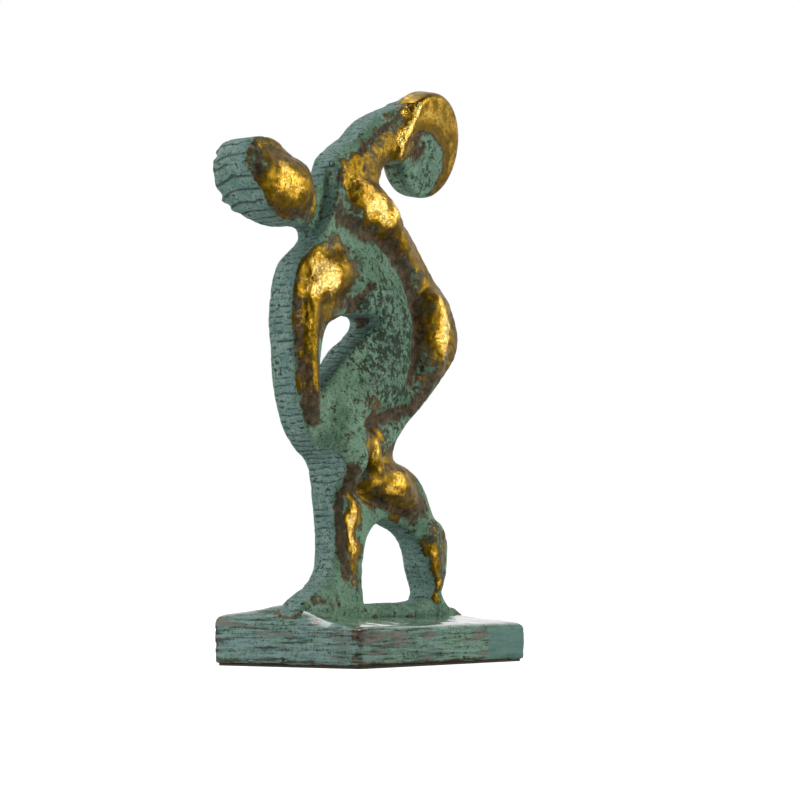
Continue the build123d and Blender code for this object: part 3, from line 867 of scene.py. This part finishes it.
# darker along the bottom edge of the walls, next to the pad, as well as at the arrises and in the pits
hollow = (0.5 * arris * (0.4 + noise(points, 1.5, 26)) + 0.9 * pits * on_wall
          + 0.8 * np.exp(-((z - 0.3) / 0.3) ** 2))
hollow = hollow + front_arris * (0.8 * bump(x, z, -half_x, 3.9, 1.0, 1.6)
                                 + 0.7 * bump(x, z, -half_x, 1.1, 0.8, 1.2))
hollow = hollow + 0.4 * on_end * np.clip((y - half_y + 3.0) / 2.5, 0, 1) * noise(points, 1.0, 27) * 2

# rubbed spots along the left end's upper edge, and a painted white reflection in two zones of the waxed
# top
worn_spots = (bump(y, z, -3.9, 5.0, 1.8, 0.8) + bump(y, z, 1.4, 6.1, 1.2, 0.8)
              + 0.8 * bump(y, z, -10.2, 4.6, 1.4, 0.9))
rub = 0.22 * arris + 0.5 * worn_spots * (x < -half_x + 1.2)
reflection_zones = bump(x, y, -9.0, -7.2, 7.0, 2.8) + bump(x, y, 6.8, -7.0, 7.6, 3.0)
reflection_zones = 0.8 * np.clip(reflection_zones * 1.6, 0, 1) * on_top
plinth = mesh_piece("plinth_block", points, faces,
                    {"rub": rub, "hollow": np.clip(hollow * (1 - clean_patch), 0, 1),
                     "blue": np.clip(0.1 * on_wall + on_end * (0.4 + 0.7 * scrape), 0, 1),
                     "stain": np.clip(on_wall * stained * (0.35 + scrape) * (1 - clean_patch), 0, 1),
                     "wax": on_top, "clean": clean_patch, "painted_reflection": reflection_zones})
plinth_brass, s, shader = brass_material("plinth_brass", "rub", "hollow", "blue", 0.25, depth=0.06)
read = {key: s.node("ShaderNodeAttribute", attribute_name=key).outputs["Fac"]
        for key in ("stain", "wax", "clean", "painted_reflection")}
place = s.node("ShaderNodeTexCoord").outputs["Object"]
rubbed = s.speckle(place, 0.9, 5.0, 0.65, (0.25, 0.25, 1.8))
fine = s.speckle(place, 0.45, 5.0, 0.7, (0.1, 0.1, 1.4))
grey_stain = s.mix(s.step(rubbed, 0.35, 0.65), linear(66, 62, 54), linear(122, 118, 106))
under = shader.inputs["Base Color"].links[0].from_socket
stain = s.step(s.sum("ADD", read["stain"], s.swing(rubbed, 2.0)), 0.25, 0.65, 0.0, 0.9)
tint = s.mix(s.step(fine, 0.5, 0.64, 0.0, 0.85), under, linear(38, 48, 42))
tint = s.mix(s.step(fine, 0.5, 0.38, 0.0, 0.75), tint, linear(132, 160, 160))
tint = s.mix(stain, tint, grey_stain)
teal = s.mix(s.step(rubbed, 0.35, 0.65), linear(82, 122, 114), linear(100, 134, 124))
shader.inputs["Coat Roughness"].default_value = 0.06
shader.inputs["Coat IOR"].default_value = 2.0
# the painted white reflection, mixed into the top's colour
painted_reflection = s.sum("MULTIPLY", read["painted_reflection"], s.step(rubbed, 0.3, 0.6))
tint = s.mix(painted_reflection, tint, linear(196, 204, 194))
s.put(shader.inputs["Base Color"], s.mix(s.sum("MULTIPLY", read["clean"], 0.85), tint, teal))
waxed = s.sum("MULTIPLY", read["wax"], s.step(s.speckle(place, 5.0, 3.0), 0.32, 0.42))
s.put(shader.inputs["Coat Weight"], waxed)
dry = shader.inputs["Roughness"].links[0].from_socket
s.put(shader.inputs["Roughness"], s.between(waxed, dry, 0.12))
plinth.data.materials.append(plinth_brass)
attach(plinth, "root")
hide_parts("plinth")

# ======================================================================================
# The screws and washers: two slotted cheese-head screws of zinc-plated steel, each with a
# washer of the same, driven up through the block into the feet. The frame's own meshes
# serve, because the pad hides them.
# ======================================================================================
zinc, s, shader = new_material("zinc_plate")
place = s.node("ShaderNodeTexCoord").outputs["Object"]
cloud = s.speckle(place, 0.6, 3.0)
s.put(shader.inputs["Base Color"], s.mix(cloud, linear(150, 150, 144), linear(196, 194, 182)))
s.put(shader.inputs["Roughness"], s.step(cloud, 0.3, 0.7, 0.25, 0.5))
shader.inputs["Metallic"].default_value = 1.0
for name in ("fixing_screws", "washers"):
    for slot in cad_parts[name].material_slots:
        slot.material = zinc

# ======================================================================================
# The base pad: a thin sheet of dark felt, cut a little smaller than the block and glued
# under it, over the heads of the screws.
# ======================================================================================
felt, s, shader = new_material("pad_felt")
place = s.node("ShaderNodeTexCoord").outputs["Object"]
fibre = s.speckle(place, 0.25, 4.0, 0.7)
s.put(shader.inputs["Base Color"], s.mix(fibre, linear(54, 48, 36), linear(88, 80, 62)))
shader.inputs["Roughness"].default_value = 0.95
raise_by(s, shader, fibre, 0.1)
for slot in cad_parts["base_pad"].material_slots:
    slot.material = felt

# ======================================================================================
# Floor, lights and camera: a sheet of white paper in a bright room, with one soft lamp at
# the front right, one on the left and one above. The room is brightest behind the figurine.
# ======================================================================================
scene = bpy.context.scene
paper_half = 3.0
paper_corners = [(-paper_half, -paper_half, 0), (paper_half, -paper_half, 0),
                 (paper_half, paper_half, 0), (-paper_half, paper_half, 0)]
floor_mesh = bpy.data.meshes.new("floor")
floor_mesh.from_pydata(paper_corners, [], [(0, 1, 2, 3)])
floor = bpy.data.objects.new("floor", floor_mesh)
scene.collection.objects.link(floor)
white_paper, s, shader = new_material("white_paper")
shader.inputs["Base Color"].default_value = (0.6, 0.6, 0.6, 1)
shader.inputs["Roughness"].default_value = 0.95
shader.inputs["Specular IOR Level"].default_value = 0.0
shader.inputs["Emission Color"].default_value = (1, 1, 1, 1)
seen = s.node("ShaderNodeLightPath").outputs["Is Camera Ray"]
s.put(shader.inputs["Emission Strength"], s.sum("MULTIPLY", seen, 0.86))
floor_mesh.materials.append(white_paper)

scene.view_settings.view_transform = "Standard"
world = bpy.data.worlds.new("studio")
scene.world = world
world.use_nodes = True
s = Sheet(world.node_tree)
background = world.node_tree.nodes["Background"]
towards = s.node("ShaderNodeTexCoord").outputs["Generated"]
level = s.node("ShaderNodeVectorMath", operation="DOT_PRODUCT")
s.put(level.inputs[0], towards)
bright_side = (0.8, 0.58, 0.15)                # the room's light is strongest from this direction
level.inputs[1].default_value = bright_side
darkest, brightest = 0.1, 0.95
around = s.step(level.outputs["Value"], -0.5, 1.1, darkest, brightest)
seen = s.node("ShaderNodeLightPath").outputs["Is Camera Ray"]
s.put(background.inputs["Strength"], s.sum("MAXIMUM", around, seen))
background.inputs["Color"].default_value = (1, 1, 1, 1)
middle = Vector((0, 0, 0.035))


def soft_light(name, place, size, power):
    """A rectangular lamp that is turned to the middle of the figurine."""
    lamp = bpy.data.lights.new(name, "AREA")
    lamp.shape = "RECTANGLE"
    lamp.size, lamp.size_y = size
    lamp.energy = power
    thing = bpy.data.objects.new(name, lamp)
    scene.collection.objects.link(thing)
    thing.location = place
    thing.rotation_euler = (middle - Vector(place)).to_track_quat("-Z", "Y").to_euler()


soft_light("key", (0.34, -0.49, 0.19), (0.16, 0.26), 2.15)
soft_light("left", (-0.5, 0.25, 0.2), (0.3, 0.4), 1.95)
soft_light("top", (0.0, 0.1, 0.6), (0.4, 0.4), 1.2)

camera_data = bpy.data.cameras.new("camera")
camera_data.sensor_width = 36.0
camera_data.lens = 107.22
camera_data.clip_start = 0.01
camera = bpy.data.objects.new("camera", camera_data)
scene.collection.objects.link(camera)
camera.location = (-0.22981, -0.16724, 0.009894)
tilted_up, turned_right = math.radians(4.308), math.radians(54.589)
camera.rotation_euler = (math.radians(90) + tilted_up, 0, -turned_right)
scene.camera = camera
